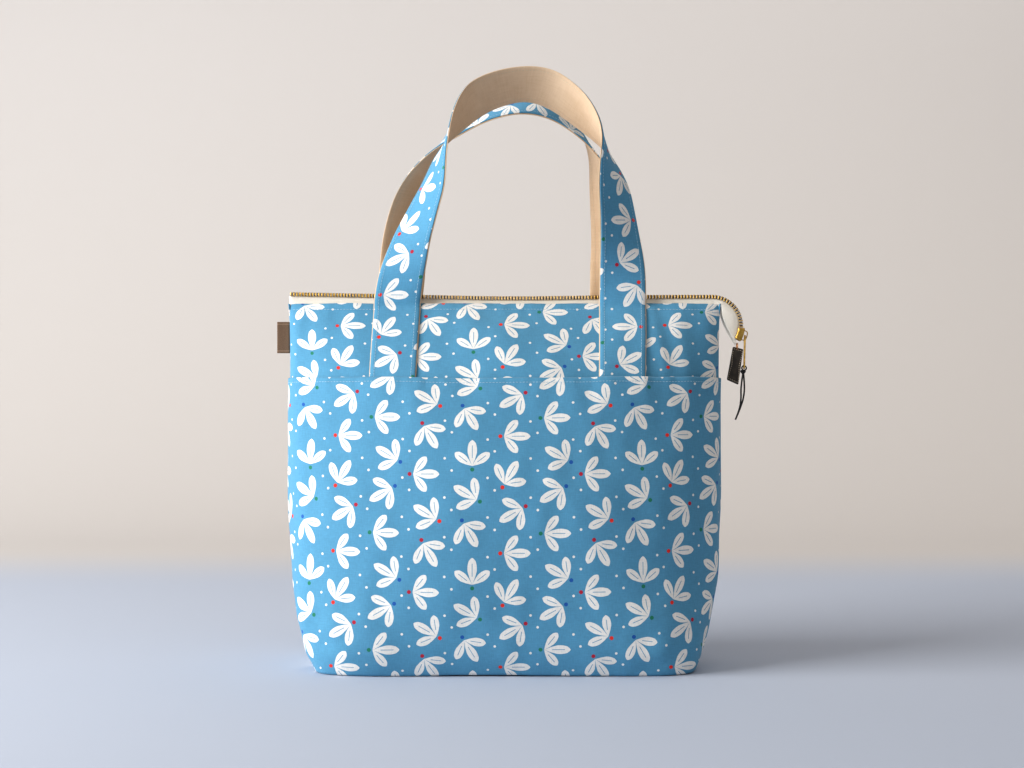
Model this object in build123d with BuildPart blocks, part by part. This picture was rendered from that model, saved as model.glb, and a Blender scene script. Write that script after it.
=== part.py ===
"""Zip-top knitting bag: two soft panels, a front slip pocket, two doubled strap handles, a standing brass zip."""

from build123d import *
import math
import os

# Bag body: height, half width, half depth and squareness of the outline at that height
OUTLINE = [
    (0.0, 153.0, 62.0, 5.0),
    (9.0, 157.5, 67.0, 4.6),
    (50.0, 169.5, 75.0, 3.2),
    (120.0, 179.0, 78.0, 2.4),
    (190.0, 180.0, 67.5, 2.05),
    (240.0, 180.2, 49.5, 2.0),
    (280.0, 181.0, 26.0, 2.0),
    (301.0, 182.0, 7.5, 2.0),
]
OUTLINE_STEPS = 8

PANEL = 2.5
LINING = 0.7
LINING_GAP = 0.3
LINING_TOP = 296.0
BASE_BOARD = 1.6
TOP_EDGE = 301.0

# Slip pocket on the front, caught in the side seams and open along its hem
POCKET = 1.2
POCKET_GAP = 0.4
POCKET_STAND = 2.5
POCKET_FOOT = 4.0
POCKET_HEM = 237.5

# Strap: printed face over a linen backing
STRAP_WIDTH = 37.0
STRAP_LAYER = 0.8
SEWN_GAP = 0.3
SEWN_FOOT = 214.0
SEWN_TOP = 297.0

# Zip: the chain stands as a ridge and turns down over the right corner
CHAIN_CENTRE = (174.5, 283.0)
CHAIN_RADIUS = 24.2
TOOTH_HEIGHT = 4.0
TOOTH_LENGTH = 1.15
TOOTH_PITCH = 2.6
TOOTH_DEPTH = 2.3
TOOTH_REACH = 0.6
RIDGE_START = -176.0
TAPE = 0.6
TAPE_GAP = 0.3
CHAIN_END_ANGLE = -26.0

# Slider and pull
SLIDER_ANGLE = -17.0
SLIDER_SWEEP = 25.0
PLATE = 0.9
SLIDER_HALF_WIDTH = 4.2
PULL_PIVOT = (201.9, 274.6)
PULL_END = (201.2, 246.5)
PULL_WIDTH = 5.4
PULL_THICKNESS = 1.0
CORD = 1.4
KNOT = 2.1

# Leather tab on a ring at the tip of the tail
RING_CENTRE = (195.3, 265.4)
RING_RADIUS = 2.8
RING_WIRE = 1.1
TAB_LAYER = 1.5
TAB_CORNERS = [(191.9, 265.3), (200.4, 263.2), (196.2, 233.4), (186.8, 237.6)]

# Label folded into the left side seam
LABEL_LAYER = 0.5
LABEL_REACH = 9.0
LABEL_HEIGHT = 26.0
LABEL_CENTRE = 273.0

os.makedirs("parts", exist_ok=True)


def half_outline(width, depth, squareness):
    """Points of the front half of the bag's outline, from the right seam to the left seam."""
    points = []
    for step in range(OUTLINE_STEPS + 1):
        turn = math.pi * step / OUTLINE_STEPS
        across = math.cos(turn)
        out = math.sin(turn)
        x = math.copysign(abs(across) ** (2 / squareness), across) * width
        y = -(max(out, 0.0) ** (2 / squareness)) * depth
        points.append((x, y))
    points[0] = (width, 0.0)
    points[-1] = (-width, 0.0)
    return points


def front_form(offset_at):
    """Solid front half of the bag, its surface moved out by offset_at(height)."""
    with BuildPart() as form:
        for height, width, depth, squareness in OUTLINE:
            grow = offset_at(height)
            points = half_outline(width + grow, depth + grow, squareness)
            with BuildSketch(Plane.XY.offset(height)):
                with BuildLine():
                    Spline(*points)
                    Line(points[-1], points[0])
                make_face()
        loft()
    return form.part


def trimmed_form(offset, foot, top):
    """Front half form with a level offset, kept between two heights."""
    with BuildPart() as form:
        add(front_form(lambda height: offset))
        split(bisect_by=Plane.XY.offset(foot), keep=Keep.TOP)
        split(bisect_by=Plane.XY.offset(top), keep=Keep.BOTTOM)
    return form.part


def pocket_stand(height):
    """How far the pocket's inner face stands off the panel, so the straps pass behind the hem."""
    if height < 150:
        return POCKET_GAP
    return POCKET_STAND


# Panels: each is one side of the body with half of the bottom, meeting in the side seams
front_outer = front_form(lambda height: 0.0)
front_void = trimmed_form(-PANEL, PANEL, TOP_EDGE)

with BuildPart() as front_panel:
    add(front_outer)
    add(front_void, mode=Mode.SUBTRACT)

with BuildPart() as back_panel:
    mirror(front_panel.part, about=Plane.XZ)

# Board in the bottom between the panels and the lining
board_top = PANEL + LINING_GAP + BASE_BOARD
with BuildPart() as base_board:
    add(trimmed_form(-PANEL - LINING_GAP - 3.0, PANEL + LINING_GAP, board_top))
    mirror(about=Plane.XZ)

# Lining: a thin bag hung inside the panels
lining_out = -PANEL - LINING_GAP
lining_foot = board_top + LINING_GAP
with BuildPart() as front_lining:
    add(trimmed_form(lining_out, lining_foot, LINING_TOP))
    add(trimmed_form(lining_out - LINING, lining_foot + LINING, LINING_TOP), mode=Mode.SUBTRACT)

with BuildPart() as back_lining:
    mirror(front_lining.part, about=Plane.XZ)

# Slip pocket
with BuildPart() as front_pocket:
    add(front_form(lambda height: pocket_stand(height) + POCKET))
    add(front_form(pocket_stand), mode=Mode.SUBTRACT)
    split(bisect_by=Plane.XY.offset(POCKET_FOOT), keep=Keep.TOP)
    split(bisect_by=Plane.XY.offset(POCKET_HEM), keep=Keep.BOTTOM)

# Sewn-down ends of the straps: foot and top edges seen from the front, left to right
FRONT_ENDS = {"left": (-110.0, -73.0, -107.5, -71.0), "right": (76.5, 113.5, 80.0, 117.0)}
BACK_ENDS = {"left": (-109.0, -72.0, -107.5, -71.0), "right": (72.5, 109.5, 73.5, 110.0)}


def sewn_layer(ends, inner):
    """One layer of a sewn strap end, lying on the front panel inside four corner positions."""
    foot_left, foot_right, top_left, top_right = ends
    with BuildPart() as layer:
        add(trimmed_form(inner + STRAP_LAYER - 0.05, SEWN_FOOT, SEWN_TOP))
        add(front_form(lambda height: inner), mode=Mode.SUBTRACT)
        with BuildSketch(Plane.XZ):
            with BuildLine():
                Polyline(
                    (foot_left, SEWN_FOOT),
                    (foot_right, SEWN_FOOT),
                    (top_right, SEWN_TOP),
                    (top_left, SEWN_TOP),
                    close=True,
                )
            make_face()
        extrude(amount=120, mode=Mode.INTERSECT)
    return layer.part


sewn_parts = {}
for side, ends in FRONT_ENDS.items():
    with BuildPart() as sewn_backing:
        add(sewn_layer(ends, SEWN_GAP))
    with BuildPart() as sewn_face:
        add(sewn_layer(ends, SEWN_GAP + STRAP_LAYER))
    sewn_parts["front_strap_end_" + side + "_backing"] = sewn_backing
    sewn_parts["front_strap_end_" + side + "_face"] = sewn_face
for side, ends in BACK_ENDS.items():
    with BuildPart() as sewn_backing:
        mirror(sewn_layer(ends, SEWN_GAP), about=Plane.XZ)
    with BuildPart() as sewn_face:
        mirror(sewn_layer(ends, SEWN_GAP + STRAP_LAYER), about=Plane.XZ)
    sewn_parts["back_strap_end_" + side + "_backing"] = sewn_backing
    sewn_parts["back_strap_end_" + side + "_face"] = sewn_face

# Free handles: pairs of points on the strap's inner edge and outer edge, from the left leg to the right.
# The inner edge turns to the outside and up at the top of the arch, so the strap leans outwards there.
FRONT_HANDLE = [
    ((-71.0, -11.0, 303.0), (-107.5, -11.0, 303.0)),
    ((-68.0, -15.0, 325.0), (-103.5, -9.0, 326.0)),
    ((-62.0, -24.0, 354.0), (-93.0, -4.5, 356.5)),
    ((-51.8, -31.0, 396.0), (-71.0, -4.0, 396.5)),
    ((-47.0, -36.0, 433.0), (-54.0, -3.8, 430.5)),
    ((-37.0, -36.0, 469.5), (-33.0, -3.8, 449.0)),
    ((-19.0, -34.5, 486.5), (-9.0, -3.8, 464.5)),
    ((17.0, -33.5, 494.5), (15.0, -3.8, 471.0)),
    ((45.0, -34.0, 489.5), (35.0, -3.8, 466.0)),
    ((68.0, -35.5, 469.0), (60.0, -3.8, 450.0)),
    ((80.5, -36.0, 439.0), (85.5, -3.8, 429.5)),
    ((79.0, -31.0, 397.0), (104.0, -4.0, 397.0)),
    ((80.0, -24.0, 357.0), (113.0, -5.0, 359.0)),
    ((80.2, -15.0, 326.0), (116.7, -9.5, 326.5)),
    ((80.0, -11.0, 303.0), (117.0, -11.0, 303.0)),
]
BACK_HANDLE = [
    ((-71.0, 11.0, 303.0), (-107.5, 11.0, 303.0)),
    ((-69.0, 14.5, 326.0), (-105.0, 9.0, 326.0)),
    ((-67.5, 22.5, 360.0), (-101.0, 5.0, 364.0)),
    ((-65.0, 30.5, 397.0), (-88.0, 4.2, 399.0)),
    ((-60.0, 35.5, 430.0), (-65.0, 3.8, 427.0)),
    ((-43.0, 36.0, 459.0), (-36.0, 3.8, 446.0)),
    ((-21.0, 34.5, 476.5), (-12.0, 3.8, 457.5)),
    ((14.0, 33.5, 485.5), (13.0, 3.8, 462.5)),
    ((41.0, 34.0, 479.5), (37.0, 3.8, 459.0)),
    ((62.0, 35.5, 461.0), (60.0, 3.8, 445.5)),
    ((73.0, 36.0, 433.0), (79.0, 3.8, 426.5)),
    ((75.5, 30.5, 400.0), (96.0, 4.2, 398.0)),
    ((76.0, 23.5, 360.0), (106.5, 5.0, 360.5)),
    ((74.5, 15.0, 326.0), (109.8, 9.5, 326.5)),
    ((73.5, 11.0, 303.0), (110.0, 11.0, 303.0)),
]


def strap_planes(edges):
    """One plane per pair of edge points: x across the strap, z along its run."""
    centres = []
    for inner_edge, outer_edge in edges:
        centres.append((Vector(*inner_edge) + Vector(*outer_edge)) / 2)
    planes = []
    for index, (inner_edge, outer_edge) in enumerate(edges):
        across = (Vector(*inner_edge) - Vector(*outer_edge)).normalized()
        if index == 0 or index == len(edges) - 1:
            along = Vector(0, 0, 1) if index == 0 else Vector(0, 0, -1)
        else:
            along = centres[index + 1] - centres[index - 1]
        along = (along - across * along.dot(across)).normalized()
        planes.append(Plane(origin=centres[index], x_dir=across, z_dir=along))
    return planes


def strap_layer(edges, shift):
    """One layer of a free strap, moved by shift across its thickness."""
    with BuildPart() as layer:
        for plane in strap_planes(edges):
            with BuildSketch(plane):
                with Locations((0, shift)):
                    Rectangle(STRAP_WIDTH, STRAP_LAYER - 0.05)
        loft()
    return layer.part


half_layer = STRAP_LAYER / 2
with BuildPart() as front_handle_face:
    add(strap_layer(FRONT_HANDLE, -half_layer))
with BuildPart() as front_handle_backing:
    add(strap_layer(FRONT_HANDLE, half_layer))
with BuildPart() as back_handle_face:
    add(strap_layer(BACK_HANDLE, half_layer))
with BuildPart() as back_handle_backing:
    add(strap_layer(BACK_HANDLE, -half_layer))

# Zip tapes: from inside the top edges up to the chain, and on over the corner as a doubled tail
chain_x, chain_z = CHAIN_CENTRE
tooth_foot = CHAIN_RADIUS - TOOTH_HEIGHT / 2
tape_top = chain_z + tooth_foot - 0.1
hole_z = RING_CENTRE[1] + RING_RADIUS
tail_tip_angle = -34.0
tip_x = chain_x + (tooth_foot - 0.1) * math.cos(math.radians(tail_tip_angle))
tip_z = chain_z + (tooth_foot - 0.1) * math.sin(math.radians(tail_tip_angle))
with BuildPart() as zip_tape_front:
    for height, outer, inner in ((297.0, 5.0, 5.0 - TAPE), (301.5, 3.6, 3.6 - TAPE)):
        with BuildSketch(Plane.XY.offset(height)):
            with BuildLine():
                reach = 175.0
                Spline((-reach, -0.95), (-120, -0.74 * outer - 0.3), (0, -outer - 0.2),
                       (120, -0.74 * outer - 0.3), (reach, -0.95))
                Line((reach, -0.95), (reach, -0.35))
                Spline((reach, -0.35), (120, -0.74 * outer + 0.3), (0, -inner - 0.2),
                       (-120, -0.74 * outer + 0.3), (-reach, -0.35))
                Line((-reach, -0.35), (-reach, -0.95))
            make_face()
    with BuildSketch(Plane.XY.offset(tape_top)):
        with BuildLine():
            reach = 175.0
            Spline((-reach, -0.9), (-120, -0.9), (0, -0.9), (120, -0.9), (reach, -0.9))
            Line((reach, -0.9), (reach, -0.3))
            Spline((reach, -0.3), (120, -0.3), (0, -0.3), (-120, -0.3), (-reach, -0.3))
            Line((-reach, -0.3), (-reach, -0.9))
        make_face()
    loft(ruled=True)
    with BuildSketch(Plane.XZ.offset(TAPE_GAP)):
        with BuildLine():
            CenterArc((chain_x, chain_z), tooth_foot - 0.1, tail_tip_angle, 90 - tail_tip_angle)
            Polyline(
                (tip_x, tip_z),
                (198.0, 268.6),
                (197.6, 265.7),
                (193.2, 265.5),
            )
            Spline((193.2, 265.5), (187.8, 275.0), (184.2, 286.0), (183.0, 301.8))
            Polyline((183.0, 301.8), (chain_x, 301.8), (chain_x, tape_top))
        make_face()
        with Locations((RING_CENTRE[0], hole_z)):
            Circle(1.6, mode=Mode.SUBTRACT)
    extrude(amount=TAPE)

with BuildPart() as zip_tape_back:
    mirror(zip_tape_front.part, about=Plane.XZ)

# Brass teeth: separate blocks along the ridge and round the corner, front and back rows half a pitch apart
ridge_count = int((chain_x - RIDGE_START) / TOOTH_PITCH)
step_angle = math.degrees(TOOTH_PITCH / CHAIN_RADIUS)
turn_count = int((90 - CHAIN_END_ANGLE) / step_angle)


def teeth_row(shift):
    """A row of teeth reaching from the front across the middle line, moved along the chain by shift."""
    with BuildPart() as row:
        with BuildSketch(Plane.XZ.offset(-TOOTH_REACH)):
            start = chain_x - ridge_count * TOOTH_PITCH
            spots = [(start + (index + shift) * TOOTH_PITCH, chain_z + CHAIN_RADIUS) for index in range(ridge_count)]
            with Locations(*spots):
                Rectangle(TOOTH_LENGTH, TOOTH_HEIGHT)
            with Locations((chain_x, chain_z)):
                with PolarLocations(
                    CHAIN_RADIUS, turn_count, 90 - step_angle * shift, -step_angle * turn_count
                ):
                    Rectangle(TOOTH_HEIGHT, TOOTH_LENGTH)
        extrude(amount=TOOTH_DEPTH + TOOTH_REACH)
    return row.part


with BuildPart() as zip_teeth_front:
    add(teeth_row(0.0))
with BuildPart() as zip_teeth_back:
    mirror(teeth_row(0.5), about=Plane.XZ)


def chain_plane(angle):
    """Plane across the chain at an angle round the corner: x outwards, y to the back, z along the chain."""
    turn = math.radians(angle)
    return Plane(
        origin=(chain_x, 0, chain_z),
        x_dir=(math.cos(turn), 0, math.sin(turn)),
        z_dir=(-math.sin(turn), 0, math.cos(turn)),
    )


turn_axis = Axis((chain_x, 0, chain_z), (0, -1, 0))
slider_start = SLIDER_ANGLE - SLIDER_SWEEP / 2
plate_inside = CHAIN_RADIUS + TOOTH_HEIGHT / 2 + 0.4
plate_outside = plate_inside + PLATE
lip_outside = tooth_foot - 0.4
lip_inside = lip_outside - PLATE

# Slider: a channel that wraps the chain, open along the middle for the doubled tape
with BuildPart() as slider_body:
    with BuildSketch(chain_plane(slider_start)):
        with Locations(((lip_inside + plate_outside) / 2, 0)):
            Rectangle(plate_outside - lip_inside, 2 * SLIDER_HALF_WIDTH)
        with Locations(((lip_outside + plate_inside) / 2, 0)):
            Rectangle(plate_inside - lip_outside, 2 * (SLIDER_HALF_WIDTH - PLATE), mode=Mode.SUBTRACT)
        with Locations(((lip_inside + lip_outside) / 2, 0)):
            Rectangle(3 * PLATE, 2.8, mode=Mode.SUBTRACT)
    revolve(axis=turn_axis, revolution_arc=SLIDER_SWEEP)

# Bail: a brass bridge on the slider that holds the pull
with BuildPart() as slider_bail:
    with BuildSketch(Plane.XZ.offset(-0.6)):
        with BuildLine():
            bail_points = []
            for radius, angle in ((27.52, -24.6), (30.8, -24.0), (30.8, -10.0), (27.52, -9.4),
                                  (27.52, -12.0), (29.7, -12.6), (29.7, -21.4), (27.52, -22.0)):
                turn = math.radians(angle)
                bail_points.append((chain_x + radius * math.cos(turn), chain_z + radius * math.sin(turn)))
            Polyline(*bail_points, close=True)
        make_face()
    extrude(amount=1.2)

# Pull: a flat brass strip with an eye for the bail and a hole for the cord
pull_run = Vector(PULL_END[0] - PULL_PIVOT[0], 0, PULL_END[1] - PULL_PIVOT[1])
pull_length = pull_run.length
pull_down = pull_run.normalized()
pull_plane = Plane(
    origin=(PULL_PIVOT[0], 0, PULL_PIVOT[1]),
    x_dir=(pull_down.X, pull_down.Y, pull_down.Z),
    z_dir=(-pull_down.Z, 0, pull_down.X),
)
with BuildPart() as pull_strip:
    with BuildSketch(pull_plane.offset(-PULL_THICKNESS / 2)):
        with Locations((pull_length / 2 - 0.3, 0)):
            RectangleRounded(pull_length + 0.6, PULL_WIDTH, 0.55)
        with Locations((3.2, 0)):
            Rectangle(5.2, 3.0, mode=Mode.SUBTRACT)
        with Locations((pull_length - 2.8, 0)):
            Circle(1.25, mode=Mode.SUBTRACT)
    extrude(amount=PULL_THICKNESS)

# Waxed cord: a loop through the strip's hole, a knot below it and two loose tails
cord_hole = Vector(PULL_PIVOT[0], 0, PULL_PIVOT[1]) + pull_down * (pull_length - 2.8)
knot_centre = (cord_hole.X - 0.3, 0, cord_hole.Z - 6.6)
with BuildPart() as pull_knot:
    with Locations(knot_centre):
        Sphere(KNOT)

with BuildPart() as pull_cord_loop:
    with BuildSketch(Plane.XY.offset(cord_hole.Z - 1.9)):
        with Locations((cord_hole.X + 1.9, 0)):
            Circle(0.55)
    revolve(axis=Axis((cord_hole.X, 0, cord_hole.Z - 1.9), (0, 1, 0)), revolution_arc=360)


def cord_route(points):
    """Corner radii for a route: each arc takes 0.45 of its shorter run."""
    radii = []
    for index in range(1, len(points) - 1):
        before = Vector(*points[index]) - Vector(*points[index - 1])
        after = Vector(*points[index + 1]) - Vector(*points[index])
        half_turn = math.radians(before.get_angle(after)) / 2
        radii.append(0.45 * min(before.length, after.length) / math.tan(half_turn))
    return radii


knot_foot = knot_centre[2] - KNOT - 0.05
TAIL_A = [
    (201.0, 0.9, knot_foot),
    (201.5, 1.1, 231.5),
    (200.1, 1.3, 222.0),
    (197.6, 1.0, 214.0),
    (196.3, 0.8, 207.5),
]
TAIL_B = [
    (200.0, -0.9, knot_foot),
    (199.3, -1.1, 230.5),
    (199.6, -1.2, 220.0),
    (197.3, -1.0, 211.0),
    (194.2, -0.8, 203.5),
]
cord_parts = {}
for name, route in (("pull_cord_tail_a", TAIL_A), ("pull_cord_tail_b", TAIL_B)):
    radii = cord_route(route)
    print(name, "radii", [round(radius, 1) for radius in radii])
    with BuildPart() as cord_tail:
        with BuildLine() as cord_line:
            FilletPolyline(*route, radius=radii)
        start = Vector(*route[1]) - Vector(*route[0])
        with BuildSketch(Plane(origin=route[0], z_dir=(start.X, start.Y, start.Z))):
            Circle(CORD / 2)
        sweep()
    run = cord_line.wire().length
    print(name, "length", round(run, 1), "volume", round(cord_tail.part.volume, 1))
    print(name, "section times length", round(run * math.pi * CORD**2 / 4, 1))
    cord_parts[name] = cord_tail

# Ring through the tip of the tail and the top of the leather tab
with BuildPart() as tab_ring:
    with BuildSketch(Plane.XZ):
        with Locations((RING_CENTRE[0], hole_z)):
            Circle(RING_WIRE / 2)
    revolve(axis=Axis((RING_CENTRE[0], 0, RING_CENTRE[1]), (1, 0, 0)), revolution_arc=360)


def tab_layer(start):
    """One leather layer of the tab, from start towards the front."""
    with BuildPart() as layer:
        with BuildSketch(Plane.XZ.offset(start)) as outline:
            with BuildLine():
                Polyline(*TAB_CORNERS, close=True)
            make_face()
            fillet(outline.vertices(), radius=1.0)
            with Locations((RING_CENTRE[0], RING_CENTRE[1] - RING_RADIUS + 0.15)):
                Circle(1.2, mode=Mode.SUBTRACT)
        extrude(amount=TAB_LAYER)
    return layer.part


with BuildPart() as leather_tab_front:
    add(tab_layer(0.02))
with BuildPart() as leather_tab_back:
    add(tab_layer(-TAB_LAYER - 0.02))

# Folded label: two layers caught in the left side seam
label_inner = -181.9
label_parts = {}
for name, start in (("side_label_front", 0.02), ("side_label_back", -LABEL_LAYER - 0.02)):
    with BuildPart() as label_layer:
        with BuildSketch(Plane.XZ.offset(start)):
            with Locations((label_inner - LABEL_REACH / 2, LABEL_CENTRE)):
                Rectangle(LABEL_REACH, LABEL_HEIGHT)
        extrude(amount=LABEL_LAYER)
    label_parts[name] = label_layer

nodes = {
    "front_panel": front_panel,
    "back_panel": back_panel,
    "base_board": base_board,
    "front_lining": front_lining,
    "back_lining": back_lining,
    "front_pocket": front_pocket,
    "front_handle_face": front_handle_face,
    "front_handle_backing": front_handle_backing,
    "back_handle_face": back_handle_face,
    "back_handle_backing": back_handle_backing,
    "zip_tape_front": zip_tape_front,
    "zip_tape_back": zip_tape_back,
    "zip_teeth_front": zip_teeth_front,
    "zip_teeth_back": zip_teeth_back,
    "slider_body": slider_body,
    "slider_bail": slider_bail,
    "pull_strip": pull_strip,
    "pull_cord_loop": pull_cord_loop,
    "pull_knot": pull_knot,
    "tab_ring": tab_ring,
    "leather_tab_front": leather_tab_front,
    "leather_tab_back": leather_tab_back,
}
nodes.update(sewn_parts)
nodes.update(cord_parts)
nodes.update(label_parts)

for name, node in nodes.items():
    node.part.label = name
    export_step(node.part, "parts/" + name + ".step")
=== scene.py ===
"""Zip-top knitting bag: cloth, straps, zip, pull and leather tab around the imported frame."""

import math

import bpy
import numpy as np
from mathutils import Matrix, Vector


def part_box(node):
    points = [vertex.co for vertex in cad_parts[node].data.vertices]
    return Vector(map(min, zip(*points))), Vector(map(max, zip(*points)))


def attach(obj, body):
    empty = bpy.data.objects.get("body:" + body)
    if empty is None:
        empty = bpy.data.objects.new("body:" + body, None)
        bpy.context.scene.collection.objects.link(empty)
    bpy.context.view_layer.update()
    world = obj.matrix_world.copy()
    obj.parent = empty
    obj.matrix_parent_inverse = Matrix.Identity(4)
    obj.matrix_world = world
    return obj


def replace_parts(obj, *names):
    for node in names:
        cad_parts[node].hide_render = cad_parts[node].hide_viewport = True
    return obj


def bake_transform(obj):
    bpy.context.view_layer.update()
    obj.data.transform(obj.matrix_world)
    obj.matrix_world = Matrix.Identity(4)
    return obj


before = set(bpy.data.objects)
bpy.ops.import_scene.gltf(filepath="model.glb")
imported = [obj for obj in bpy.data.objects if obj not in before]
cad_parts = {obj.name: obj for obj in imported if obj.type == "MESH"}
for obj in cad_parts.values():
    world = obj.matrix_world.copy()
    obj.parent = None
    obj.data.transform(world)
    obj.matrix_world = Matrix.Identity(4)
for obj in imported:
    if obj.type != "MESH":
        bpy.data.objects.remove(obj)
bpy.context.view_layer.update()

MM = 0.001
FLOOR_GAP = 0.0002  # no cloth comes nearer to the floor


# ---------------------------------------------------------------- camera
def add_camera():
    """Level camera in front of the bag, a little below the top of its panels."""
    data = bpy.data.cameras.new("camera")
    data.lens = 56.25
    data.sensor_width = 36.0
    camera = bpy.data.objects.new("camera", data)
    camera.location = (0.0063, -1.344, 0.234)
    camera.rotation_euler = (math.pi / 2, 0, 0)
    bpy.context.scene.collection.objects.link(camera)
    bpy.context.scene.camera = camera


add_camera()


# ---------------------------------------------------------------- node shorthand
class Sum:
    """A shader socket with arithmetic, so that patterns read as formulas."""

    def __init__(self, tree, socket):
        self.tree = tree
        self.socket = socket

    def make(self, operation, *others):
        node = self.tree.nodes.new("ShaderNodeMath")
        node.operation = operation
        for index, value in enumerate((self,) + others):
            if isinstance(value, Sum):
                self.tree.links.new(value.socket, node.inputs[index])
            else:
                node.inputs[index].default_value = value
        return Sum(self.tree, node.outputs[0])

    def __add__(self, other):
        return self.make("ADD", other)

    def __sub__(self, other):
        return self.make("SUBTRACT", other)

    def __mul__(self, other):
        return self.make("MULTIPLY", other)

    def __truediv__(self, other):
        return self.make("DIVIDE", other)

    def __radd__(self, other):
        return self.make("ADD", other)

    def __rmul__(self, other):
        return self.make("MULTIPLY", other)

    def __rsub__(self, other):
        return (self * -1.0).make("ADD", other)

    def __neg__(self):
        return self * -1.0

    def __abs__(self):
        return self.make("ABSOLUTE")

    def above(self, edge, soft):
        """0 below edge, 1 above it, with a short ramp."""
        node = self.tree.nodes.new("ShaderNodeMapRange")
        node.interpolation_type = "SMOOTHSTEP"
        self.tree.links.new(self.socket, node.inputs["Value"])
        node.inputs["From Min"].default_value = edge - soft
        node.inputs["From Max"].default_value = edge + soft
        return Sum(self.tree, node.outputs["Result"])

    def curve(self, points):
        """A smooth profile through a few given points, both ways from 0 to 1."""
        node = self.tree.nodes.new("ShaderNodeFloatCurve")
        line = node.mapping.curves[0]
        while len(line.points) < len(points):
            line.points.new(0.5, 0.5)
        for point, (x, y) in zip(line.points, points):
            point.location = (x, y)
            point.handle_type = "AUTO_CLAMPED"
        node.mapping.update()
        self.tree.links.new(self.socket, node.inputs["Value"])
        return Sum(self.tree, node.outputs["Value"])


def hypot(a, b):
    return (a * a + b * b).make("SQRT")


def mix_colour(tree, share, first, second):
    """first where share is 0, second where it is 1. Each is a socket or a colour."""
    node = tree.nodes.new("ShaderNodeMix")
    node.data_type = "RGBA"
    if isinstance(share, Sum):
        tree.links.new(share.socket, node.inputs["Factor"])
    else:
        node.inputs["Factor"].default_value = share
    for name, value in (("A", first), ("B", second)):
        socket = [s for s in node.inputs if s.name == name and s.type == "RGBA"][0]
        if isinstance(value, bpy.types.NodeSocket):
            tree.links.new(value, socket)
        else:
            socket.default_value = (*value, 1.0)
    return [s for s in node.outputs if s.type == "RGBA"][0]


# ---------------------------------------------------------------- printed pattern
SKY = (0.089, 0.296, 0.472)
WHITE = (0.80, 0.79, 0.77)
RED = (0.72, 0.03, 0.02)
BERRY = (0.42, 0.012, 0.04)
NAVY = (0.010, 0.10, 0.38)
GREEN = (0.015, 0.20, 0.12)
CELL_X = 34.0
CELL_Y = 31.0


def print_group():
    """Scattered plain white three-leaf shapes, each with one small coloured dot. Takes a place in metres."""
    tree = bpy.data.node_groups.new("leaf_print", "ShaderNodeTree")
    tree.interface.new_socket("Place", in_out="INPUT", socket_type="NodeSocketVector")
    tree.interface.new_socket("Color", in_out="OUTPUT", socket_type="NodeSocketColor")
    inside = tree.nodes.new("NodeGroupInput")
    outside = tree.nodes.new("NodeGroupOutput")
    split = tree.nodes.new("ShaderNodeSeparateXYZ")
    tree.links.new(inside.outputs["Place"], split.inputs[0])
    across = Sum(tree, split.outputs[0]) * 1000.0
    along = Sum(tree, split.outputs[1]) * 1000.0

    # Cell of the repeat: four columns by three rows, each column set off up or down
    column_place = across / CELL_X + 40.3
    column = column_place.make("FLOOR")
    column_id = column.make("WRAP", 4.0, 0.0)
    row_place = along / CELL_Y + (column_id * 0.5).make("WRAP", 1.0, 0.0) + 30.0
    row = row_place.make("FLOOR")
    row_id = row.make("WRAP", 3.0, 0.0)
    qx = (column_place - column - 0.5) * CELL_X
    qy = (row_place - row - 0.5) * CELL_Y

    specks = (1.05 - hypot(qx - 14.2, qy - 12.6).make("MINIMUM", hypot(qx + 14.2, qy + 12.6))).above(0.0, 0.1)

    # Each shape is turned to its own side, and the dots' colours go round in order
    qx = qx + (row_id - 1.0) * 2.1
    kind = (column_id + row_id * 2.0 + 0.2).make("FLOOR").make("WRAP", 4.0, 0.0)
    turn = (column_id * 5.0 + row_id * 7.0) * 0.5236
    cosine = turn.make("COSINE")
    sine = turn.make("SINE")
    bx = (qx * cosine + qy * sine) / 1.06
    by = (qy * cosine - qx * sine) / 1.06
    side = abs(by)

    def leaf(angle, length, width):
        """Leaf from the foot of the shape, and the gap along its middle rib."""
        from_foot = bx + 8.5
        reach = from_foot * math.cos(angle) + side * math.sin(angle)
        lean = abs(side * math.cos(angle) - from_foot * math.sin(angle))
        half = (reach / length).curve(
            [(0.0, 0.0), (0.12, 0.28), (0.35, 0.74), (0.6, 1.0), (0.8, 0.86), (0.93, 0.48), (1.0, 0.0)]
        ) * width
        shape = (half - lean).above(0.0, 0.1) * reach.above(0.0, 0.1) * (length - reach).above(0.0, 0.1)
        rib = (0.24 - lean).above(0.0, 0.1) * (reach - length * 0.3).above(0.0, 0.1)
        return shape * (1.0 - rib * (length * 0.78 - reach).above(0.0, 0.1))

    leaves = leaf(0.0, 20.0, 3.5).make("MAXIMUM", leaf(0.91, 16.5, 3.3))
    dot = (1.5 - hypot(bx + 11.2, by)).above(0.0, 0.1)

    colour = mix_colour(tree, leaves.make("MAXIMUM", specks), SKY, WHITE)
    for number, tint in enumerate((RED, NAVY, BERRY, GREEN)):
        chosen = dot * (0.5 - abs(kind - float(number))).above(0.0, 0.05)
        colour = mix_colour(tree, chosen, colour, tint)
    tree.links.new(colour, outside.inputs["Color"])
    return tree


# ---------------------------------------------------------------- materials
def new_material(name):
    material = bpy.data.materials.new(name)
    material.use_nodes = True
    tree = material.node_tree
    shader = tree.nodes["Principled BSDF"]
    return material, tree, shader


def cloth_place(tree):
    """Place on the cloth in metres, across and along its threads."""
    node = tree.nodes.new("ShaderNodeUVMap")
    node.uv_map = "cloth"
    return node.outputs["UV"]


def object_place(tree):
    return tree.nodes.new("ShaderNodeTexCoord").outputs["Object"]


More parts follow.
